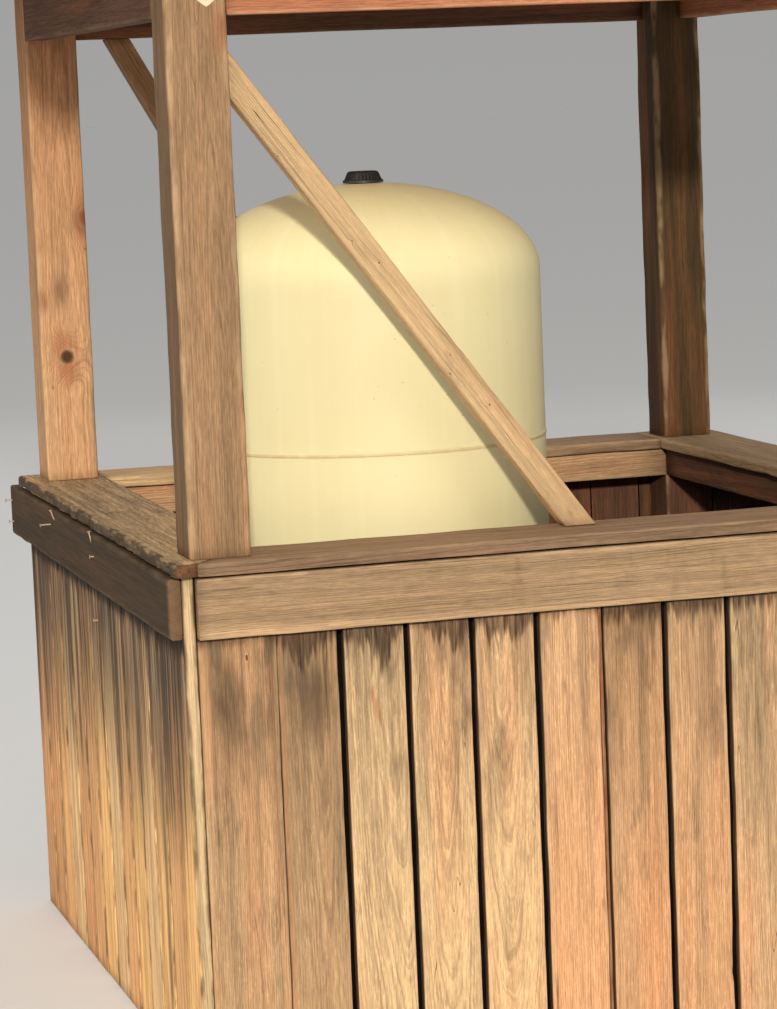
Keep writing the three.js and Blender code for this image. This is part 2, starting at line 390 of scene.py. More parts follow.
def outline(s0, s1, t0, t1, radii, wide, strip=EDGE_STRIP, raw_side=0.0):
    """Rings of a rounded rectangle: points (ring, point, 2) and how near each point is to a corner."""
    corners = ((s0, t0, 1, 1, 180), (s1, t0, -1, 1, 270), (s1, t1, -1, -1, 0), (s0, t1, 1, -1, 90))
    arcs = []
    for k, (s, t, side, up, turn) in enumerate(corners):
        r = radii[:, k]
        arc = []
        for step in range(ARC_STEPS + 1):
            angle = math.radians(turn + 90 * step / ARC_STEPS)
            arc.append(np.stack([s + side * r + r * math.cos(angle), t + up * r + r * math.sin(angle)], 1))
        arcs.append(arc)
    rows = []
    wear = []
    for k in range(4):
        rows += arcs[k]
        wear += [0.8] + [1.0] * (ARC_STEPS - 1) + [0.8]
        a, b = arcs[k][-1], arcs[(k + 1) % 4][0]
        length = float(np.linalg.norm(b[0] - a[0]))
        near = min(0.3, strip / max(length, 1e-6))
        inner = [] if k % 2 else [f if k == 0 else 1 - f for f in wide]
        for f in sorted([near, 1 - near] + inner):
            rows.append(a * (1 - f) + b * f)
            wear.append(raw_side if k == 3 else 0.0)
    return np.stack(rows, 1), np.array(wear)


def side_columns(side):
    """Columns of a section's ring on one side of it: 0 and 2 run along s, 1 and 3 along t."""
    arc = ARC_STEPS + 1
    starts = (0, arc + 5, 2 * arc + 7, 3 * arc + 12, 4 * arc + 14)
    return [column % starts[4] for column in range(starts[side] + ARC_STEPS, starts[side + 1] + 1)]


def stations(length, step):
    """Where the rings stand along a timber, from 0 to 1, with an extra one close to each end."""
    count = max(6, int(abs(length) / step))
    ease = EASE / length
    return np.concatenate([[0, ease], np.linspace(0, 1, count)[1:-1], [1 - ease, 1]])


def corner_radii(rng, u, length, how):
    """Radius of the four corners at each ring, with bites taken out of some of them."""
    n = len(u)
    radii = np.stack([how.round_by * (1 + 0.5 * wobble(rng, n, 3)) for _ in range(4)], 1)
    for at, half, corner, depth in how.bites:
        bite = depth * np.maximum(1 - ((u * length - at) / half) ** 2, 0)
        radii[:, corner] = np.maximum(radii[:, corner], bite)
    radii[:, 3] += 1.6 * how.ragged * np.maximum(wobble(rng, n, 2.5) + wobble(rng, n, 1.2), 0)
    radii[:, 0] += 0.5 * how.ragged * np.maximum(wobble(rng, n, 1.5), 0)
    return radii


def side_insets(rng, n, how):
    """How far the four sides lie inside the timber's box at each ring."""
    ease = np.zeros(n)
    ease[[0, -1]] = EASE
    sides = [how.shift * (1 + wobble(rng, n, 6)) + ease for _ in range(4)]
    rough = 0.5 + 0.6 * wobble(rng, n, 1.3) + 0.6 * wobble(rng, n, 5)
    sides[0] = sides[0] + how.ragged * np.maximum(rough, 0)
    return sides


def skin(rows, wide):
    """Faces of a timber, with both ends closed by strips of quads."""
    far = (rows - 1) * wide
    mirror = wide - 3
    strips = [[mirror + 2, 0, mirror, mirror + 1]]
    strips += [[j, j + 1, mirror - 1 - j, mirror - j] for j in range((mirror + 1) // 2 - 1)]
    near_end = [quad[::-1] for quad in strips]
    far_end = [[far + j for j in quad] for quad in strips]
    return quads_round(rows, wide) + near_end + far_end


def grain_rows(rng, s, t, v, middle, how):
    """Grain coordinates: x and y from the pith, z along the timber."""
    pith = how.pith or (
        rng.uniform(0.05, 0.2) * rng.choice([-1, 1]), rng.uniform(0.02, 0.06) * rng.choice([-1, 1]))
    offset = rng.uniform(0, 40)
    drift = how.drift or rng.uniform(-0.03, 0.03)
    return np.stack([s - middle[0] - pith[0], t - middle[1] - pith[1] + drift * v, v + offset], 2)


def tint_rows(u, length, across, tones, how):
    """Colour of each point: the two tones along the timber, then its sides, foot and ends."""
    first, last = np.broadcast_to(tones, (2, 3))
    low, high = how.turn
    mix = (np.clip((u - low) / (high - low), 0, 1) ** how.tone_power)[:, None, None]
    tint = np.ones((*across.shape, 4))
    tint[:, :, :3] = first * (1 - mix) + last * mix
    pale = np.ones(across.shape[1])
    for side, factor in how.sides.items():
        if np.ndim(factor):
            tint[:, side_columns(side), :3] = factor
        else:
            pale[side_columns(side)] = factor
    tint[:, :, :3] *= np.where(across < LOW_STRIP, how.low_strip, 1.0)[:, :, None]
    foot = 1 + (how.foot - 1) * (u * length < FOOT_H)
    tint[:, :, :3] *= pale[None, :, None] * foot[:, None, None]
    for rows, end in zip(([0, 1], [-1, -2]), how.ends):
        tint[rows, :, :3] = np.array(end) * (tint[rows, :, :3] if np.ndim(end) == 0 else 1)
    return tint


def soil_rows(points, across, wear, how):
    """Soiling of each point: distance below shelter, how much it stains and how worn it is."""
    soil = np.zeros((*across.shape, 3))
    soil[:, :, 0] = how.drop(points).reshape(across.shape)
    stain = np.atleast_1d(how.stain)
    soil[:, :, 1] = np.interp(across, np.linspace(0, 1, len(stain)), stain)
    soil[:, :, 2] = wear[None, :] * how.worn
    soil[[0, -1], :, 2] = 0.3
    return soil


def bar(piece, size, place, span, tones, **changes):
    """A timber. size is (s0, s1, t0, t1) of its section, place maps (s, t, v) to the frame,
    span is the (start, end) of v, numbers or functions of s and t, and tones is its colour or the
    colours of its two ends. changes is what differs from PLAIN_BAR."""
    how = SimpleNamespace(**dict(PLAIN_BAR, **changes))
    rng = piece.rng
    s0, s1, t0, t1 = size
    start, end = [f if callable(f) else (lambda s, t, f=f: f + 0 * s) for f in span]
    middle = (s0 + s1) / 2, (t0 + t1) / 2
    axis = np.array(middle)
    length = float(end(*axis) - start(*axis))
    u = stations(length, how.step)
    radii = np.minimum(corner_radii(rng, u, length, how), 0.45 * min(s1 - s0, t1 - t0))
    sides = side_insets(rng, len(u), how)
    ring, wear = outline(
        s0 + sides[0], s1 - sides[1], t0 + sides[2], t1 - sides[3], radii, how.wide, how.strip,
        1.0 if how.ragged else 0.0)
    s, t = ring[:, :, 0], ring[:, :, 1]
    across = np.clip((s - s0) / (s1 - s0), 0, 1)
    flat = np.abs(t - middle[1]) > 0.5 * (t1 - t0) - EASE - 0.001
    t = t - np.sign(t - middle[1]) * flat * how.cup * 4 * across * (1 - across)
    first, last = start(s, t), end(s, t)
    v = first + u[:, None] * (last - first)
    points = place(s, t, v).reshape(-1, 3)
    piece.add(points, skin(*s.shape), grain=grain_rows(rng, s, t, v, middle, how),
              tint=tint_rows(u, length, across, tones, how), soil=soil_rows(points, across, wear, how))


def placing(order):
    """Placing whose x, y and z are the coordinates s, t and v of a timber in some order."""
    def place(s, t, v):
        return np.stack([{"s": s, "t": t, "v": v}[letter] for letter in order], -1)
    return place


along_z = placing("stv")
along_z_side = placing("tsv")
along_x = placing("vst")
along_y = placing("svt")
on_edge_x = placing("vts")
on_edge_y = placing("tvs")


def flipped(place, x, y):
    """The same placing with its x and y multiplied by 1 or -1."""
    def flip(s, t, v):
        return place(s, t, v) * np.array([x, y, 1])
    return flip


def turned_about(place):
    """The same placing, half a turn about the vertical axis."""
    return flipped(place, -1, -1)


class Tree:
    """Node tree of a new material or world, with short ways to add what the shaders need."""

    def __init__(self, name, group="materials"):
        self.owner = getattr(bpy.data, group).new(name)
        self.owner.use_nodes = True
        self.tree = self.owner.node_tree
        self.tree.nodes.clear()

    def put(self, socket, value):
        if isinstance(value, bpy.types.NodeSocket):
            self.tree.links.new(value, socket)
        else:
            socket.default_value = value

    def node(self, kind, inputs=(), **settings):
        made = self.tree.nodes.new("ShaderNode" + kind)
        for key, value in settings.items():
            setattr(made, key, value)
        for key, value in dict(inputs).items():
            self.put(made.inputs[key], value)
        return made

    def math(self, operation, a, b=0.0):
        return self.node("Math", {0: a, 1: b}, operation=operation).outputs[0]

    def plus(self, a, b):
        return self.math("ADD", a, b)

    def minus(self, a, b):
        return self.math("SUBTRACT", a, b)

    def times(self, a, *factors):
        for b in factors:
            a = self.math("MULTIPLY", a, b)
        return a

    def vector(self, operation, a, b=(0, 0, 0)):
        return self.node("VectorMath", {0: a, 1: b}, operation=operation).outputs[0]

    def length(self, a):
        return self.node("VectorMath", {0: a}, operation="LENGTH").outputs[1]

    def split(self, a):
        return self.node("SeparateXYZ", {0: a}).outputs[:3]

    def join(self, x, y, z):
        return self.node("CombineXYZ", {0: x, 1: y, 2: z}).outputs[0]

    def noise(self, at, scale=1.0, detail=2.0, rough=0.5, colour=False):
        inputs = {"Vector": at, "Scale": scale, "Detail": detail, "Roughness": rough}
        return self.node("TexNoise", inputs).outputs[1 if colour else 0]

    def band(self, value, low, high, to_low=0.0, to_high=1.0):
        """Smooth step of value from low to high."""
        ends = {"Value": value, "From Min": low, "From Max": high, "To Min": to_low, "To Max": to_high}
        return self.node("MapRange", ends, interpolation_type="SMOOTHSTEP", clamp=True).outputs[0]

    def mix(self, factor, a, b, blend="MIX"):
        made = self.node("Mix", {0: factor, 6: a, 7: b}, data_type="RGBA", blend_type=blend,
                         clamp_factor=True)
        return made.outputs[2]

    def over(self, colour, strength, coat):
        """A flat coat of colour, as strong as strength says."""
        return self.mix(strength, colour, rgb(coat))

    def object_place(self):
        return self.node("TexCoord").outputs["Object"]

    def read(self, name):
        return self.node("Attribute", attribute_name=name)

    def bump(self, height, strength, distance):
        inputs = {"Height": height, "Strength": strength, "Distance": distance}
        return self.node("Bump", inputs).outputs[0]

    def surface(self, **inputs):
        shader = self.node("BsdfPrincipled")
        for key, value in inputs.items():
            self.put(shader.inputs[key.replace("_", " ")], value)
        self.node("OutputMaterial", {0: shader.outputs[0]})
        return self.owner


def rgb(colour):
    return (*colour, 1.0)


class Wood(Tree):
    """Node tree of weathered sawn wood, with the coordinates and noises that its layers share."""

    def __init__(self, name):
        super().__init__(name)
        self.grain = self.read("grain").outputs["Vector"]
        self.tint = self.read("tint").outputs["Color"]
        self.drop, self.stained, self.edge = self.split(self.read("soil").outputs["Vector"])
        self.place = self.object_place()
        self.hair = self.along(560, 40, rough=0.6)
        self.fine = self.along(260, 9, rough=0.6)
        self.streak = self.along(85, 2.6, rough=0.55)
        self.broad = self.along(24, 1.6)
        patches = self.vector("MULTIPLY", self.place, (26, 26, 9))
        self.cloud = self.noise(patches, detail=3, rough=0.6)

    def along(self, across, down, **settings):
        """Noise drawn out along the grain, with a scale across the grain and one down it."""
        return self.noise(self.vector("MULTIPLY", self.grain, (across, across, down)), **settings)

    def shake(self, noise, amount):
        """A small random shift across the grain."""
        centred = self.vector("SUBTRACT", noise, (0.5, 0.5, 0.5))
        return self.vector("MULTIPLY", centred, (amount, amount, 0.0))

    def shade(self, value, amount):
        return self.band(value, 0.3, 0.7, 1.0 - amount, 1.0 + amount)


def knot_layers(t, look, away, size, colour):
    """A knot's reddish halo, pale rim and core, each as (strength, colour)."""
    flame = t.length(t.vector("DIVIDE", away, (1.0, 1.0, 1.9)))
    rough_edge = t.times(t.minus(t.noise(away, scale=140.0), 0.5), size)
    halo = t.band(t.plus(flame, rough_edge), size * 2.6, size * 1.0, 0.0, look.halo)
    far = t.plus(t.length(away), t.times(rough_edge, 0.5))
    rim = t.times(t.band(far, size * 1.35, size * 1.15), 0.45)
    core = t.band(far, size * 1.15, size * 0.55)
    return [(halo, BLUSH), (rim, look.rubbed), (core, colour)]


def growth(t, look, knots):
    """Late wood of the rings, which bend round the knots, the figure's lines and the knots' layers."""
    bend = t.shake(t.along(6, 1.3, colour=True), 0.03)
    ripple = t.shake(t.along(40, 14, colour=True), 0.0035)
    x, y, z = t.split(t.vector("ADD", t.vector("ADD", t.grain, bend), ripple))
    radius = t.length(t.join(x, y, 0.0))
    layers = []
    for kx, ky, kz, size, stretch, colour in knots:
        away = t.vector("ADD", t.vector("SUBTRACT", t.place, (kx, ky, kz)), ripple)
        away = t.vector("DIVIDE", away, stretch)
        radius = t.plus(radius, t.band(t.length(away), size * 4.5, 0.0, 0.0, size * 1.6))
        layers += knot_layers(t, look, away, size, colour)
    saw = t.math("FRACT", t.times(radius, look.rings))
    ring = t.times(t.band(saw, 0.45, 0.9), t.band(saw, 1.0, 0.93))
    figure = t.noise(t.join(t.times(radius, 560.0), 0.0, t.times(z, 2.6)), rough=0.6)
    return ring, t.band(figure, 0.5, 0.66, 1.0, 1.0 - look.lines), layers


def cracks(t, look):
    """Fine drying cracks along the grain, in some places only."""
    gap = t.math("ABSOLUTE", t.minus(t.along(48, 0.7, detail=1), 0.5))
    where = t.band(t.along(16, 2.2, detail=1), 0.54, 0.62)
    return t.times(t.band(gap, 0.0036, 0.0006), where, look.cracks)


def own_colour(t, look, ring, figure):
    """The wood's own colour: tint, warm parts, fibres, rings, stripes and pale flecks."""
    colour = t.over(t.tint, t.band(t.broad, 0.45, 0.75, 0.0, look.warmth), WARM)
    fibres = t.times(t.shade(t.hair, 1.2 * look.fibre), t.shade(t.fine, 0.6 * look.fibre))
    late_wood = t.minus(1.0, t.times(ring, look.late))
    stripes = t.shade(t.streak, look.stripe)
    flecks = t.band(t.along(430, 120, detail=1), 0.56, 0.7, 1.0, 1.0 + look.fleck)
    tone = t.times(fibres, figure, late_wood, stripes, t.shade(t.broad, 0.07), flecks)
    return t.mix(1.0, colour, t.join(tone, tone, tone), "MULTIPLY")


def weathered(t, look, colour):
    """Grey wood with dark and pale threads below a shelter, then smears, mould and worn edges."""
    drape = t.plus(t.drop, t.band(t.streak, 0.3, 0.7, -0.07, 0.07))
    high = t.times(t.band(drape, look.reach, 0.1 * look.reach), look.streaky)
    drab = t.band(t.along(36, 0.7, detail=3, rough=0.6), 0.42, 0.6)
    colour = t.over(colour, t.times(high, drab), MILDEW)
    thin = t.along(110, 1.4, rough=0.6)
    colour = t.over(colour, t.times(t.band(thin, 0.5, 0.62, 0.0, look.silver), high), DARK_THREAD)
    colour = t.over(colour, t.times(t.band(thin, 0.45, 0.34, 0.0, 0.6 * look.silver), high), PALE_THREAD)
    smear = t.band(t.along(30, 7.0, detail=3, rough=0.55), 0.5, 0.68, 0.0, look.smears)
    colour = t.over(colour, t.times(smear, t.band(t.drop, 0.42, 0.02)), SMEAR)
    spots = t.times(t.band(t.cloud, 0.55, 0.75, 0.0, look.mould), t.band(t.hair, 0.35, 0.6, 1.0, 0.35))
    colour = t.over(colour, spots, MILDEW)
    worn = t.times(t.edge, t.band(t.along(60, 20), 0.35, 0.65, 0.05, look.rub))
    return t.over(colour, worn, look.rubbed)


def blotted(t, colour, blot):
    """A soft stain with a ragged edge."""
    spot, size, stretch, coat, strength = blot
    away = t.length(t.vector("DIVIDE", t.vector("SUBTRACT", t.place, spot), stretch))
    rough_edge = t.times(t.minus(t.cloud, 0.5), size)
    fade = t.band(t.plus(away, rough_edge), size, size * 0.2, 0.0, strength)
    return t.over(colour, t.times(fade, t.band(t.fine, 0.35, 0.6, 0.7, 1.0)), coat)


def damp_and_fascia_shadow(t, look, colour):
    """Dark ragged damp stains, and a painted shadow of the fascia in a strip right under it."""
    patch = t.band(t.along(40, 3.0, detail=1), 0.32, 0.62, 0.017, 0.036)
    comb = t.band(t.along(170, 10.0), 0.35, 0.65, -0.007, 0.013)
    soak = t.times(t.plus(patch, comb), t.stained)
    soaked = t.band(t.minus(soak, t.drop), -0.01, 0.012)
    soaked = t.times(soaked, t.band(t.fine, 0.3, 0.65, 0.95, 0.65))
    colour = t.over(colour, t.times(soaked, 0.95), DAMP)
    # Painted shadow of the fascia: a dark band right under it, with a ragged lower edge
    fascia_shadow_band = t.plus(t.drop, t.times(t.minus(t.streak, 0.5), look.eaves))
    return t.over(colour, t.band(fascia_shadow_band, look.eaves, 0.35 * look.eaves, 0.0, 0.85), FASCIA_SHADOW_PAINTED)


def wood(name, knots=(), blots=(), **changes):
    """Weathered sawn wood with knots and soft stains. changes is what differs from PLAIN_LOOK."""
    look = SimpleNamespace(**dict(PLAIN_LOOK, **changes))
    t = Wood(name)
    ring, figure, layers = growth(t, look, knots)
    crack = cracks(t, look)
    colour = weathered(t, look, own_colour(t, look, ring, figure))
    for strength, coat in layers:
        colour = t.over(colour, t.times(strength, 0.9), coat)
    for blot in blots:
        colour = blotted(t, colour, blot)
    colour = t.over(damp_and_fascia_shadow(t, look, colour), t.times(crack, 0.7), CRACK)
    height = t.plus(t.times(t.hair, 0.5), t.times(t.fine, 0.6))
    height = t.minus(height, t.times(ring, 0.3))
    height = t.minus(height, t.times(crack, 1.6))
    return t.surface(Base_Color=colour, Roughness=t.band(t.fine, 0.3, 0.7, 0.92, 0.74),
                     Normal=t.bump(height, 0.7, 0.001), Specular_IOR_Level=0.25)


def cream_paint(name):
    """Satin cream paint on steel, with faint runs and dust, and painted light that changes with height."""
    t = Tree(name)
    place = t.object_place()
    x, y, z = t.split(t.vector("SUBTRACT", place, (TANK_X, TANK_Y, 0.0)))
    angle = t.math("ARCTAN2", y, x)
    runs = t.noise(t.join(t.times(angle, 14.0), z, 0.0), detail=3)
    cloud = t.noise(place, scale=6.0, detail=4, rough=0.6)
    fleck = t.noise(place, scale=160.0, detail=1)
    colour = t.mix(t.band(cloud, 0.35, 0.7, 0.0, 0.5), rgb(srgb(226, 214, 166)), rgb(srgb(222, 207, 154)))
    colour = t.over(colour, t.band(runs, 0.45, 0.75, 0.0, 0.35), srgb(232, 221, 178))
    # Painted light: the dome lighter, the body darker, and the body's low part near the caps lighter again
    painted_light_by_height = t.band(z, TANK_TOP - HEAD_H - 0.03, TANK_TOP - 0.03, 0.89, 1.25)
    painted_light_by_height = t.times(painted_light_by_height, t.band(z, CAP_TOP + 0.04, CAP_TOP + 0.22, 1.13, 1.0))
    colour = t.mix(1.0, colour, t.join(painted_light_by_height, painted_light_by_height, painted_light_by_height), "MULTIPLY")
    dust = t.times(t.band(z, TANK_TOP - 0.12, TANK_TOP, 0.0, 0.2), t.band(cloud, 0.3, 0.6, 0.4, 1.0))
    colour = t.over(colour, dust, srgb(205, 182, 134))
    line = t.math("ABSOLUTE", t.minus(z, SEAM - 0.001))
    grime = t.times(t.band(line, 0.0045, 0.0015), t.band(runs, 0.3, 0.6, 0.2, 0.45))
    colour = t.over(colour, grime, srgb(186, 150, 100))
    colour = t.over(colour, t.band(fleck, 0.79, 0.82, 0.0, 0.4), srgb(150, 118, 78))
    height = t.plus(t.times(t.noise(place, scale=420.0, detail=1), 0.2), cloud)
    return t.surface(Base_Color=colour, Roughness=t.band(cloud, 0.3, 0.7, 0.46, 0.58),
                     Normal=t.bump(height, 0.1, 0.002), Specular_IOR_Level=0.35)


def dark_coat(name, colour, grit, rough_low, rough_high, dust=0.35, gloss=0.5):
    """A dark painted or moulded surface with dust in its grain."""
    t = Tree(name)
    place = t.object_place()
    grain = t.noise(place, scale=grit, detail=3, rough=0.6)
    cloud = t.noise(place, scale=22.0, detail=3)
    dusty = t.over(rgb(colour), t.band(cloud, 0.4, 0.75, 0.0, dust), srgb(120, 108, 92))
    rough = t.band(grain, 0.3, 0.7, rough_low, rough_high)
    return t.surface(Base_Color=dusty, Roughness=rough, Normal=t.bump(grain, 0.3, 0.0006),
                     Specular_IOR_Level=gloss)


# Each wood's dark band right under the fascia is a painted shadow
wall_wood = wood(
    "wall_wood", fibre=0.14, fleck=0.16, mould=0.45, streaky=0.35, silver=0.6, smears=0.55, lines=0.24,
    halo=0.1, knots=KNOTS_WALL, blots=BLOTS_WALL, eaves=0.006)
side_wood = wood(
    "side_wall_wood", stripe=0.22, late=0.1, mould=0.45, warmth=0.2, rubbed=srgb(78, 56, 38),
    streaky=0.8, silver=0.95, rub=0.85, lines=0.3, halo=0.0, blots=BLOTS_SIDE, eaves=0.03, reach=0.42)
trim_wood = wood(
    "trim_wood", late=0.1, fibre=0.12, stripe=0.12, warmth=0.04, lines=0.34, halo=0.0, blots=BLOTS_TRIM)
cap_wood = wood(
    "cap_wood", late=0.12, fibre=0.28, stripe=0.24, fleck=0.2, warmth=0.1, mould=0.75, lines=0.35,
    rubbed=srgb(70, 54, 38), rub=0.95)
dark_wood = wood(
    "dark_trim_wood", late=0.05, fibre=0.06, stripe=0.06, warmth=0.05, mould=0.3, fleck=0.0,
    rubbed=srgb(120, 98, 74))
frame_wood = wood(
    "frame_wood", halo=0.35, late=0.1, fibre=0.15, stripe=0.08, warmth=0.2, mould=0.15, cracks=0.4,
    fleck=0.08, lines=0.24, knots=KNOTS_FRAME, blots=BLOTS_FRAME)
brace_wood = wood(
    "brace_wood", rings=380.0, late=0.15, fibre=0.08, stripe=0.07, warmth=0.25, mould=0.3, halo=0.1,
    cracks=1.3, lines=0.38, knots=KNOTS_BRACE, blots=BLOTS_BRACE)
roof_wood = wood("roof_wood", late=0.15, mould=0.4, warmth=0.1)
nail_steel = dark_coat("nail_steel", srgb(178, 152, 122), 900.0, 0.45, 0.7)
plate_metal = dark_coat("plate_metal", srgb(214, 196, 160), 300.0, 0.4, 0.6)
liner_paper = dark_coat("liner_paper", srgb(12, 8, 7), 240.0, 0.85, 0.98, dust=0.02, gloss=0.08)
TANK_COATS = {
    "tank_paint": cream_paint("tank_paint"),
    "base_paint": dark_coat("base_paint", srgb(46, 46, 48), 180.0, 0.5, 0.7),
    "black_plastic": dark_coat("black_plastic", srgb(30, 30, 32), 300.0, 0.42, 0.6),
}


def under_fascia(points):
    return FASCIA_BOTTOM - points[:, 2]


def end_clean(points):
    """Distance below the fascia, but far below it on the sawn edge that faces front or back."""
    edge = np.abs(points[:, 1]) > SKIN - 0.0015
    return np.where(edge, in_the_open(points), under_fascia(points))


def front_board_edges():
    edges = [(-OUT, FIRST_BOARD - OUT), (FIRST_BOARD - OUT, FIRST_BOARD + BOARD - OUT)]
    left = edges[-1][1] + GAP
    for i in range(EVEN_BOARDS):
        right = left + BOARD if i < EVEN_BOARDS - 1 else OUT
        edges.append((left, right))
        left = right + GAP
    return edges


def add_rails(piece, outside, place, tones):
    """The two rails on the inside of a wall's boards."""
    for z in (RAIL_LIFT, CAP_BOTTOM - RAIL):
        bar(piece, (outside, -IN, z, z + RAIL), place, (-IN, IN), tones, step=COARSE)


def spaced_wall(node, seed, place, rail_place):
    """Boards with gaps between them, and a thin lath in one of the gaps."""
    piece = Piece(f"{node}_boards", seed)
    edges = front_board_edges()
    for i, ((x0, x1), (low, top, stain)) in enumerate(zip(edges, FRONT_TONES)):
        tight = TIGHT if i == TIGHT_BOARD else 0.0
        # Each board's inner face is darkened as painted shade; the sides along the gaps are much darker
        bar(piece, (x0 + tight, x1, -SKIN, -OUT), place, (0.0, CAP_BOTTOM), (low, top),
            sides={1: 0.3 if i else 0.7, 2: 0.3, 3: 0.16 if i > 1 else 0.8},
            drop=under_fascia, stain=stain, cup=piece.rng.uniform(0, 0.0008), shift=0.0006,
            tone_power=2.2, step=0.014, **FRONT_MARKS.get(i, {}))
    # The rails are lighter towards one end: partly painted light
    add_rails(piece, -OUT + LINER, rail_place, (HAZEL, PEACH))
    lath = edges[LATH_GAP][0] - GAP / 2
    bar(piece, (lath - LATH_HALF, lath + LATH_HALF, -OUT - LATH_OUT, -OUT + LINER), place,
        (0.0, CAP_BOTTOM), RUSSET, step=COARSE)
    piece.finish(wall_wood, "wall_wood", node)


def tight_wall(node, seed, place, rail_place):
    """Boards with narrow joints, and a thin tongue in each joint."""
    piece = Piece(f"{node}_boards", seed)
    count = len(SIDE_TONES)
    joints = []
    for i, tones in enumerate(SIDE_TONES):
        y0 = -SKIN + 2 * SKIN * i / count
        y1 = -SKIN + 2 * SKIN * (i + 1) / count
        joint = piece.rng.uniform(*JOINT) if i else 0.0
        joints.append((y0, y0 + joint))
        rise = piece.rng.uniform(-0.06, 0.06)
        # The boards' inner faces are darkened as painted shade
        bar(piece, (y0 + joint, y1 - JOINT_CUT, -SKIN, -OUT), place, (0.0, CAP_BOTTOM), tones,
            drop=under_fascia if i else end_clean, stain=piece.rng.uniform(0.7, 1.1), shift=0.0005,
            strip=0.011, turn=(0.38 + rise, 0.78 + rise), step=0.02,
            sides={2: 0.3, 3: 1.0 if i else SPLINTER})
    # The rails are darkened as painted shade inside the wall
    add_rails(piece, -OUT, rail_place, PAINTED_SHADE_BROWN)
    for y0, y1 in joints[1:]:
        bar(piece, (y0 - TONGUE, y1 + TONGUE, *TONGUE_DEPTH), place, TONGUE_SPAN,
            MAROON, shift=0.0001, round_by=0.0003, step=COARSE, worn=0.0)
    piece.finish(side_wood, "wall_wood", node)


def add_liner(node, seed, place):
    """Black building paper behind spaced boards, which shows in their gaps. Behind the back wall the paper
    is painted shade, a dark sheet that keeps its gaps dark.
    """
    piece = Piece(f"{node}_liner", seed)
    bar(piece, (-IN, IN, -OUT, -OUT + LINER), place, PAPER_SPAN, MAROON, **PAPER)
    piece.finish(liner_paper, "wall_wood")


def add_lining(node, seed, place):
    """Inner faces of spaced boards, one thin strip to a board, in front of the paper, dark as painted
    shade.
    """
    piece = Piece(f"{node}_lining", seed)
    edges = front_board_edges()
    start = -IN
    for n, (_, right) in enumerate(edges):
        end = (right + edges[n + 1][0]) / 2 if n + 1 < len(edges) else IN
        bar(piece, (start, end - SLIT, -OUT + LINER, -OUT + 2 * LINER), place, PAPER_SPAN,
            (PAINTED_SHADE_BROWN, PAINTED_SHADE_BROWN if n % 3 else MAROON), worn=0.0, **PAPER)
        start = end
    piece.finish(frame_wood, "wall_wood")


def make_walls():
    add_liner("front_wall", 15, along_z)
    add_liner("back_wall", 16, turned_about(along_z))
    add_lining("front_wall", 17, along_z)
    add_lining("back_wall", 18, turned_about(along_z))
    spaced_wall("front_wall", 11, along_z, along_x)
    spaced_wall("back_wall", 12, turned_about(along_z), turned_about(along_x))
    tight_wall("left_wall", 13, along_z_side, along_y)
    tight_wall("right_wall", 14, turned_about(along_z_side), turned_about(along_y))


def trim(node, seed, size, place, span, tones, material=trim_wood, round_by=0.003, **changes):
    """A fascia or cap board that stands for one node."""
    piece = Piece(f"{node}_board", seed)
    bar(piece, size, place, span, tones, round_by=round_by, **changes)
    piece.finish(material, "trim_wood", node)


def make_fascias():
    height = (FASCIA_BOTTOM, FASCIA_TOP)
    trim("front_fascia", 21, (*height, -EDGE, -SKIN), on_edge_x, (-OUT, OUT), BARK,
         low_strip=1.4, wide=(0.14, 0.5, 0.75))
    trim("back_fascia", 22, (*height, SKIN, EDGE), on_edge_x, (-OUT, OUT), (BARK, SHADE))
    trim("left_fascia", 23, (*height, -EDGE, -SKIN), on_edge_y, (-SKIN, FASCIA_BACK), SLATE,
         material=dark_wood, round_by=0.004, ends=(srgb(108, 80, 57), 1.0))
    trim("right_fascia", 24, (*height, SKIN, EDGE), on_edge_y, (-SKIN, SKIN), (SLATE, BARK))


def make_caps():
    thick = (CAP_BOTTOM, CAP_TOP)
    mitre = (OUT - CAP_IN) / (EDGE - CAP_IN)
    reach = OUT - PLAY
    knee = (CAP_SIDE - OUT) / (CAP_SIDE - CAP_IN)

    def front_start(s, t):
        return -reach + (s + EDGE) * mitre

    def front_end(s, t):
        return -front_start(s, t)

    def side_start(s, t):
        return -EDGE + np.maximum(s + OUT, 0) / mitre

    trim("front_cap", 25, (-EDGE, -CAP_IN, *thick), along_x, (front_start, front_end), TAWNY,
         sides={2: 1.4, 3: 0.72}, worn=0.4)
    trim("left_cap", 26, (-CAP_SIDE, -CAP_IN, *thick), along_y, (side_start, EDGE), LICHEN,
         material=cap_wood, wide=(knee, 0.5, 0.75), step=0.006, ragged=0.0027,
         ends=(srgb(106, 70, 45), 0.8), sides={3: 0.36})
    trim("right_cap", 27, (-CAP_SIDE, -CAP_IN, *thick), flipped(along_y, -1, 1),
         (side_start, EDGE), (BARK, DRAB), wide=(knee, 0.5, 0.75), worn=0.5)
    # The back cap is lighter at the left end and darker at the right: partly painted light and shade
    trim("back_cap", 28, (CAP_IN, EDGE, *thick), along_x, (-CAP_IN, CAP_IN), (STRAW, TAWNY),
         step=0.01, sides={2: 1.3},
         bites=((0.012, 0.022, 0, 0.008), (0.03, 0.014, 3, 0.006), (0.02, 0.016, 1, 0.005)))


def framing(node, seed, size, place, span, tones, material=frame_wood, slot="frame_wood", **changes):
    """A post, beam, brace or rafter that stands for one node."""
    piece = Piece(f"{node}_timber", seed)
    bar(piece, size, place, span, tones, **changes)
    piece.finish(material, slot, node)


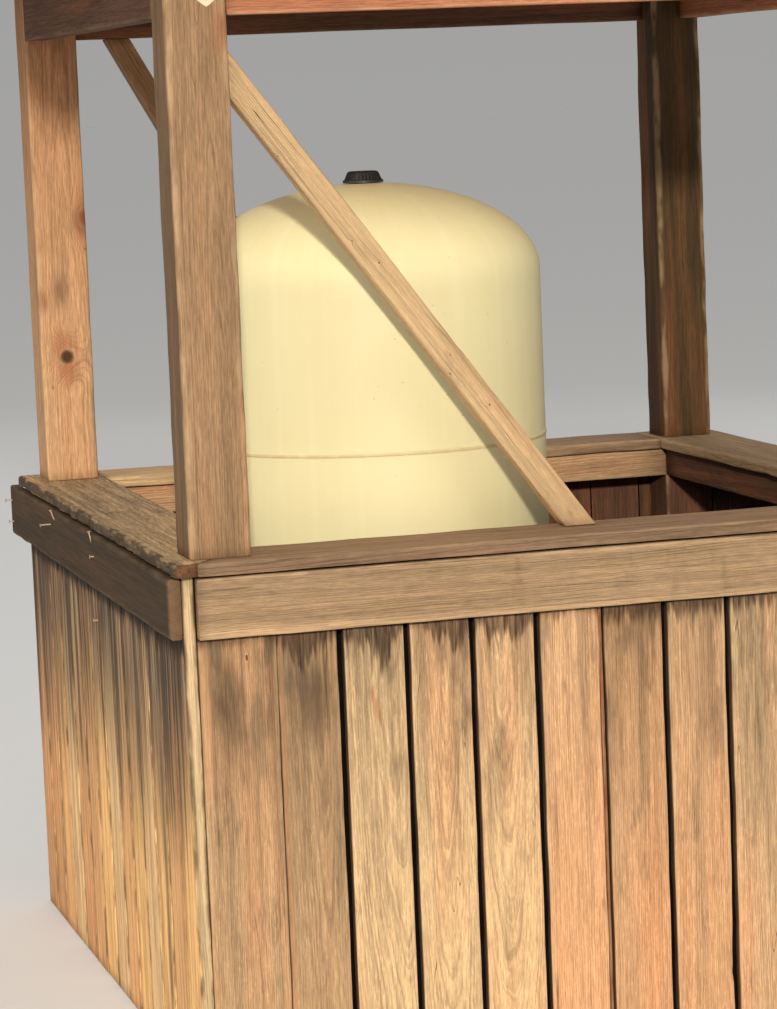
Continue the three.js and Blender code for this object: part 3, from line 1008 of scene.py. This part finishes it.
def make_posts():
    corners = (
        ("front_left", -OUT, -OUT, POST), ("front_right", IN, -OUT, (POST, ORANGE)),
        # The back right post's dark tone is painted shade
        ("back_left", -OUT, IN, (PEACH, RUST)), ("back_right", IN, IN, MAROON),
    )
    for n, (where, x, y, tones) in enumerate(corners):
        size = (x, x + POST_W, y, y + POST_W)
        # The lower posts are darkened as painted shade inside the walls
        framing(f"lower_post_{where}", 31 + n, size, along_z, (0.0, CAP_BOTTOM), PAINTED_SHADE_BROWN,
                step=COARSE)
        # The upper posts' left faces are darker: painted shade, stronger on the front posts
        framing(f"upper_post_{where}", 41 + n, size, along_z, (CAP_TOP, BEAM_TOP), tones, foot=1.25,
                round_by=0.005, pith=(0.012, -0.02), sides={3: 0.66 if n < 2 else 0.9})


def make_beams():
    low_side = (BEAM_BOTTOM, BEAM_TOP, -OUT, BEAM_T - OUT)
    high_side = (BEAM_BOTTOM, BEAM_TOP, OUT - BEAM_T, OUT)
    framing("front_beam", 51, low_side, on_edge_x, (-IN, IN), COPPER)
    # The back and left beams are darkened as painted shade, with little wear shown
    framing("back_beam", 52, high_side, on_edge_x, (-IN, IN), PAINTED_SHADE_BROWN, worn=0.3)
    framing("left_beam", 53, low_side, on_edge_y, (-IN, IN), PAINTED_SHADE_BROWN, worn=0.3)
    framing("right_beam", 54, high_side, on_edge_y, (-IN, IN), (ROSY, RUSSET))


def sloping(x, z, slope):
    """A brace whose lower edge passes (x, z): its placing, with s across it and v down along it,
    its direction across, and the cut where it meets a level of x (axis 0) or z (axis 2)."""
    corner = np.array([x, 0, z])
    down = np.array([1, 0, -slope]) / math.hypot(1, slope)
    across = np.array([slope, 0, 1]) / math.hypot(1, slope)

    def place(s, t, v):
        inward = t[..., None] * np.array([0, 1, 0])
        return corner + s[..., None] * across + inward + v[..., None] * down

    def cut(axis, level):
        return lambda s, t: (level - corner[axis] - s * across[axis]) / down[axis]
    return place, across, cut


def make_braces():
    place, across, cut = sloping(-IN, FRONT_LOW, FRONT_SLOPE)
    width = (FRONT_HIGH - FRONT_LOW) * across[2]
    framing("front_brace", 61, (0, width, -IN - BRACE_T, -IN), place, (cut(0, -IN), cut(2, CAP_TOP)),
            SAND, material=brace_wood, slot="brace_wood", round_by=0.003, sides={3: 1.5},
            bites=((0.52, 0.018, 1, 0.007), (0.60, 0.014, 1, 0.008), (0.53, 0.012, 2, 0.005)))
    # The back brace's dark tone is painted shade
    place, across, cut = sloping(BACK_HEAD, BEAM_BOTTOM, BACK_SLOPE)
    width = BACK_CUT * across[0]
    framing("back_brace", 62, (0, width, OUT - BRACE_T, OUT), place,
            (cut(2, BEAM_BOTTOM), cut(2, CAP_TOP)), UMBER)


def make_rafters():
    for n, (where, x) in enumerate(RAFTERS.items()):
        framing(f"rafter_{where}", 71 + n, (BEAM_TOP, DECK_BOTTOM, x, x + BEAM_T), on_edge_y,
                (-ROOF_Y, ROOF_Y), ROSY, step=0.03)


def make_roof():
    piece = Piece("roof_planks", 81)
    pitch = 2 * ROOF_Y / PLANKS
    for i in range(PLANKS):
        y0 = -ROOF_Y + pitch * i + (GROOVE if i else 0)
        y1 = -ROOF_Y + pitch * (i + 1) - (GROOVE if i < PLANKS - 1 else 0)
        tones = ROOF_TONES[piece.rng.integers(len(ROOF_TONES))]
        bar(piece, (y0, y1, DECK_BOTTOM, DECK_TOP), along_x, (-ROOF_X, ROOF_X), tones,
            cup=piece.rng.uniform(0, 0.0006), step=0.03)
    piece.finish(roof_wood, "roof_wood", "roof_deck")


def unit(a):
    return a / np.linalg.norm(a)


def tube(path, radii, sides=8):
    """Points and faces of a closed tube through the points of a path, with a radius at each."""
    rows = []
    for n, (p, r) in enumerate(zip(path, radii)):
        way = unit(path[min(n + 1, len(path) - 1)] - path[max(n - 1, 0)])
        side = unit(np.cross(way, (0.3, 0.2, 0.9)))
        up = np.cross(way, side)
        turn = 2 * math.pi * np.arange(sides) / sides
        rows.append(p + r * (np.cos(turn)[:, None] * side + np.sin(turn)[:, None] * up))
    last = (len(rows) - 1) * sides
    ends = [list(range(sides))[::-1], [last + j for j in range(sides)]]
    return np.concatenate(rows), ends + quads_round(len(rows), sides)


def make_nails():
    """Nails that have worked loose from the left fascia, some of them bent, and one in the wall."""
    skin_x = -EDGE + 0.002
    nails = (
        ((skin_x, 0.262, 0.722), (-0.003, 0.001, 0.006), (-0.007, 0.002, 0.018)),
        ((skin_x, 0.300, 0.713), (-0.009, 0.002, 0), (-0.017, 0.006, -0.001)),
        ((skin_x, -0.058, 0.721), (-0.002, 0, 0.009), (-0.004, 0, 0.020)),
        ((skin_x, -0.078, 0.705), (-0.004, 0, 0), (-0.007, 0.001, 0)),
        ((skin_x, 0.688, 0.713), (-0.006, 0.002, 0), (-0.012, 0.004, 0)),
        ((skin_x, 0.682, 0.676), (-0.005, 0.001, 0), (-0.009, 0.002, 0)),
        ((-SKIN + 0.002, 0.02, 0.590), (-0.004, 0, 0), (-0.008, 0.001, 0)),
    )
    radii = (NAIL_R, NAIL_R, NAIL_R, NAIL_R, 0.0033, 0.0029)
    points = []
    faces = []
    for foot, bend, tip in nails:
        foot = np.array(foot)
        tip = foot + tip
        way = unit(tip - foot - np.array(bend))
        path = [foot + (NAIL_DEEP, 0, 0), foot, foot + bend, tip, tip + 0.0002 * way, tip + 0.0012 * way]
        rings, sheet = tube(path, radii)
        faces += [[i + len(points) for i in face] for face in sheet]
        points += rings.tolist()
    solid("loose_nails", points, faces, nail_steel)


def make_plate():
    """Pointed metal plate at the top of the front left post, and its nail."""
    count = len(PLATE_OUTLINE)
    face = -OUT - PLATE_OUT
    points = [(PLATE_X + x, y, z) for y in (face, -OUT + PLATE_IN) for x, z in PLATE_OUTLINE]
    faces = [list(range(count)), list(range(count, 2 * count))[::-1]]
    faces += [[i, count + i, count + (i + 1) % count, (i + 1) % count] for i in range(count)]
    solid("post_plate", points, faces, plate_metal)
    depths = (-OUT + 0.004, face, face - 0.0006, face - 0.0012)
    path = [np.array((PLATE_X, y, PLATE_NAIL_Z)) for y in depths]
    points, faces = tube(path, (NAIL_R, NAIL_R, 0.0026, 0.0018), sides=12)
    solid("post_plate_nail", points, faces, nail_steel)


def lathe(name, profile, slot, node, segments=TURN_STEPS, rib_rows=()):
    """A closed solid of revolution about the tank's axis from a list of (radius, height)."""
    angles = 2 * math.pi * np.arange(segments) / segments
    rows = []
    for n, (r, z) in enumerate(profile):
        radius = np.full(segments, max(r, 1e-5))
        if n in rib_rows:
            radius = radius - RIB_DEPTH * (0.5 + 0.5 * np.cos(VALVE_RIBS * angles))
        x = TANK_X + radius * np.cos(angles)
        y = TANK_Y + radius * np.sin(angles)
        rows.append(np.stack([x, y, np.full(segments, z)], 1))
    faces = quads_round(len(profile), segments, closed=True)
    solid(name, np.concatenate(rows), faces, TANK_COATS[slot], (node,), WELD)


def head_arc(radius, height):
    """Quarter of an ellipse from the rim of a tank's head to the axis."""
    angles = [math.pi / 2 * i / HEAD_STEPS for i in range(HEAD_STEPS + 1)]
    return [(radius * math.cos(angle), height * math.sin(angle)) for angle in angles]


def make_tank():
    """Dome, dished bottom, and the lower and upper shell, all with the wall's thickness."""
    low = TANK_FOOT + HEAD_H
    high = TANK_TOP - HEAD_H
    inside = TANK_R - TANK_WALL
    dome = [(r, high + z) for r, z in head_arc(TANK_R, HEAD_H)]
    dome += [(r, high + z) for r, z in head_arc(inside, HEAD_H - TANK_WALL)][::-1]
    lathe("tank_dome_skin", dome, "tank_paint", "tank_dome")
    dish = [(r, low - (z - high)) for r, z in dome]
    lathe("tank_bottom_skin", dish, "tank_paint", "tank_bottom")
    for part, z0, z1 in (("lower", low, SEAM), ("upper", SEAM, high)):
        rows = [z0 + (z1 - z0) * i / SHELL_STEPS for i in range(SHELL_STEPS + 1)]
        profile = [(TANK_R, z) for z in rows] + [(inside, z1), (inside, z0)]
        lathe(f"tank_{part}_skin", profile, "tank_paint", f"tank_{part}_shell")


def make_seam_bead():
    bead = []
    for i in range(BEAD_STEPS + 1):
        angle = math.pi * i / BEAD_STEPS
        out = PLAY + BEAD_OUT * math.sin(angle) ** 0.6
        bead.append((TANK_R + out, SEAM - BEAD_HALF * math.cos(angle)))
    bead += [(TANK_R - BEAD_IN, SEAM + BEAD_HALF), (TANK_R - BEAD_IN, SEAM - BEAD_HALF)]
    lathe("tank_seam_bead", bead, "tank_paint", "tank_seam_band")


def make_foot_ring():
    top = TANK_FOOT + HEAD_H - math.sqrt(1 - (RING_IN / TANK_R) ** 2) * HEAD_H - PLAY
    eased = RING_OUT - RING_EASE
    ring = [(RING_IN, 0.0), (eased, 0.0), (RING_OUT, RING_EASE), (RING_OUT, top - 0.002), (eased, top),
            (RING_IN, top)]
    lathe("tank_foot_ring", ring, "base_paint", "tank_base_ring")


def make_valve_cap():
    """Stepped cap with a flange, ribbed round its side."""
    outline_up = (
        (0.0, 0.0), (0.031, 0.0), (0.031, 0.0035), (0.0298, 0.0045), (0.0285, 0.005), (0.0245, 0.0145),
        (0.0225, 0.0168), (0.0195, 0.0178), (0.01, 0.018), (0.0, 0.018),
    )
    profile = [(r, TANK_TOP + PLAY + z) for r, z in outline_up]
    lathe("tank_valve_cover", profile, "black_plastic", "tank_valve_cap", segments=192,
          rib_rows=(4, 5, 6))


def make_floor():
    mesh = bpy.data.meshes.new("floor")
    corners = [(x * FLOOR_SIZE, y * FLOOR_SIZE, 0) for x, y in ((-1, -1), (1, -1), (1, 1), (-1, 1))]
    mesh.from_pydata(corners, [], [[0, 1, 2, 3]])
    t = Tree("floor")
    mesh.materials.append(t.surface(Base_Color=(0.79, 0.79, 0.79, 1.0), Roughness=0.9))
    put_in_scene("floor", mesh)


def pose(where, x, y, z):
    """World matrix of a thing at a place, with its own axes along x, y and z."""
    return Matrix.Translation(where) @ Matrix((x, y, z)).transposed().to_4x4()


def area_light(name, where, target, size, power, colour):
    """A square lamp at one place that faces another."""
    light = bpy.data.lights.new(name, "AREA")
    light.shape = "SQUARE"
    light.size = size
    light.energy = power
    light.color = colour
    away = unit(np.array(where) - np.array(target))
    side = unit(np.cross((0, 0, 1), away))
    put_in_scene(name, light).matrix_world = pose(where, side, np.cross(away, side), away)


def make_lights():
    area_light("key", (-3.2, -12.0, 4.5), (0, 0, 0.9), 0.6, 1420, (1.0, 0.95, 0.86))
    area_light("left", (-6.0, -2.2, 4.6), (0, 0, 0.6), 3.0, 120, (1.0, 0.96, 0.9))
    area_light("right", (5.0, -6.5, 2.0), (0, 0, 0.9), 3.0, 45, (1.0, 0.97, 0.92))
    area_light("back", (2.5, 7.5, 5.0), (0, 0, 0.9), 5.0, 60, (1.0, 0.98, 0.95))


def make_sky():
    """Soft white light whose strength changes from the ground to the top of the sky."""
    t = Tree("studio", "worlds")
    height = t.split(t.node("TexCoord").outputs["Generated"])[2]
    ramp = t.node("ValToRGB", {0: height})
    while len(ramp.color_ramp.elements) < len(SKY):
        ramp.color_ramp.elements.new(0.5)
    for element, (at, level) in zip(ramp.color_ramp.elements, SKY):
        element.position = at
        element.color = (level, level, level, 1.0)
    light = t.node("Background", {0: (1.0, 0.99, 0.965, 1.0), 1: ramp.outputs[0]})
    t.node("OutputWorld", {0: light.outputs[0]})
    scene.world = t.owner


def make_camera():
    yaw, pitch, roll = (math.radians(a) for a in CAMERA_TURN)
    ahead = np.array([math.sin(yaw), math.cos(yaw), 0.0]) * math.cos(pitch)
    ahead[2] = math.sin(pitch)
    level = np.array([math.cos(yaw), -math.sin(yaw), 0.0])
    up = np.cross(level, ahead)
    right = math.cos(roll) * level + math.sin(roll) * up
    top = -math.sin(roll) * level + math.cos(roll) * up
    camera = bpy.data.cameras.new("camera")
    camera.sensor_fit = "HORIZONTAL"
    camera.sensor_width = SENSOR
    camera.lens = SENSOR * FOCAL_PX / FRAME_PX
    thing = put_in_scene("camera", camera)
    thing.matrix_world = pose(CAMERA_AT, right, top, -ahead)
    scene.camera = thing


make_walls()
make_nails()
make_plate()
make_fascias()
make_caps()
make_posts()
make_beams()
make_braces()
make_rafters()
make_roof()
make_tank()
make_seam_bead()
make_foot_ring()
make_valve_cap()
make_floor()
make_lights()
make_sky()
make_camera()
scene.view_settings.view_transform = "Standard"
